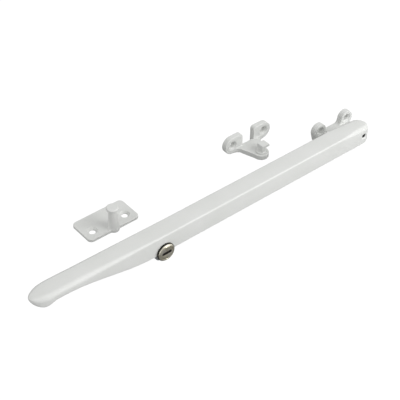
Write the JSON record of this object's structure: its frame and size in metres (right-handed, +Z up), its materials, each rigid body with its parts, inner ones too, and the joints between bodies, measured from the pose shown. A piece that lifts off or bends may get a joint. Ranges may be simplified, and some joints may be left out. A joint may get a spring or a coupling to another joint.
{
  "type": "casement window stay",
  "caption": "Key-lockable sliding casement stay: channel arm with a handle and side lock, swivelling sash bracket, loose frame bracket with a hook, and loose peg plate",
  "frame": {"origin": "middle of the set's footprint, on the surface that the set lies on", "axes": "+X runs along the arm from its handle to its pivot, -Y is the side with the key lock, +Z is up"},
  "size_m": [0.309, 0.07, 0.0224],
  "materials": {
    "white_coat": "satin white powder coat over a zinc alloy casting",
    "satin_nickel": "satin nickel plate over brass",
    "raw_zinc": "bare zinc alloy casting, dull grey",
    "zinc_plated_steel": "bright zinc-plated steel",
    "blackened_steel": "oil-blackened steel",
    "white_nylon": "natural moulded nylon",
    "black_nylon": "black moulded nylon"
  },
  "bodies": {
    "sash_mount": {"sash_bracket": "white_coat", "pivot_rivet": "zinc_plated_steel", "pivot_washer": "black_nylon"},
    "yoke": {"pivot_yoke": "raw_zinc"},
    "arm": {"arm_body": "white_coat", "slide_track": "zinc_plated_steel", "track_screw_1": "zinc_plated_steel", "track_screw_2": "zinc_plated_steel", "track_screw_3": "zinc_plated_steel", "stop_handle_end": "black_nylon", "stop_pivot_end": "black_nylon", "lock_body": "raw_zinc", "lock_barrel": "satin_nickel", "lock_fixing_screw": "zinc_plated_steel", "cross_pin": "blackened_steel"},
    "shuttle": {"slider": "white_nylon", "slider_spring": "zinc_plated_steel"},
    "key_plug": {"lock_plug": "satin_nickel", "lock_clip": "zinc_plated_steel", "lock_cam": "zinc_plated_steel", "lock_cam_screw": "zinc_plated_steel"},
    "frame_piece": {"frame_bracket": "white_coat"},
    "hook": {"swivel_hook": "white_coat"},
    "sill_piece": {"peg_plate": "white_coat"}
  },
  "joints": [
    {"name": "arm_swing", "type": "hinge", "parent": "sash_mount", "child": "yoke", "pos_m": [0.1375, -0.0252, 0.008], "axis": [0, 0, 1], "range_deg": [0, 95]},
    {"name": "arm_tilt", "type": "hinge", "parent": "yoke", "child": "arm", "pos_m": [0.1375, -0.0252, 0.0125], "axis": [0, 1, 0], "range_deg": [0, 6]},
    {"name": "slider_travel", "type": "slide", "parent": "arm", "child": "shuttle", "axis": [1, 0, 0], "range_m": [-0.09, 0.036]},
    {"name": "key_turn", "type": "hinge", "parent": "arm", "child": "key_plug", "pos_m": [-0.0535, -0.035, 0.0071], "axis": [0, -1, 0], "range_deg": [0, 90]},
    {"name": "frame_bracket_lift", "type": "slide", "parent": "sash_mount", "child": "frame_piece", "axis": [0, 0, 1], "range_m": [0, 0.03]},
    {"name": "hook_swivel", "type": "hinge", "parent": "frame_piece", "child": "hook", "pos_m": [0.0723, 0.0112, 0.004], "axis": [0, 0, 1], "range_deg": [-95, 95]},
    {"name": "peg_plate_lift", "type": "slide", "parent": "sash_mount", "child": "sill_piece", "axis": [0, 0, 1], "range_m": [0, 0.03]}
  ]
}
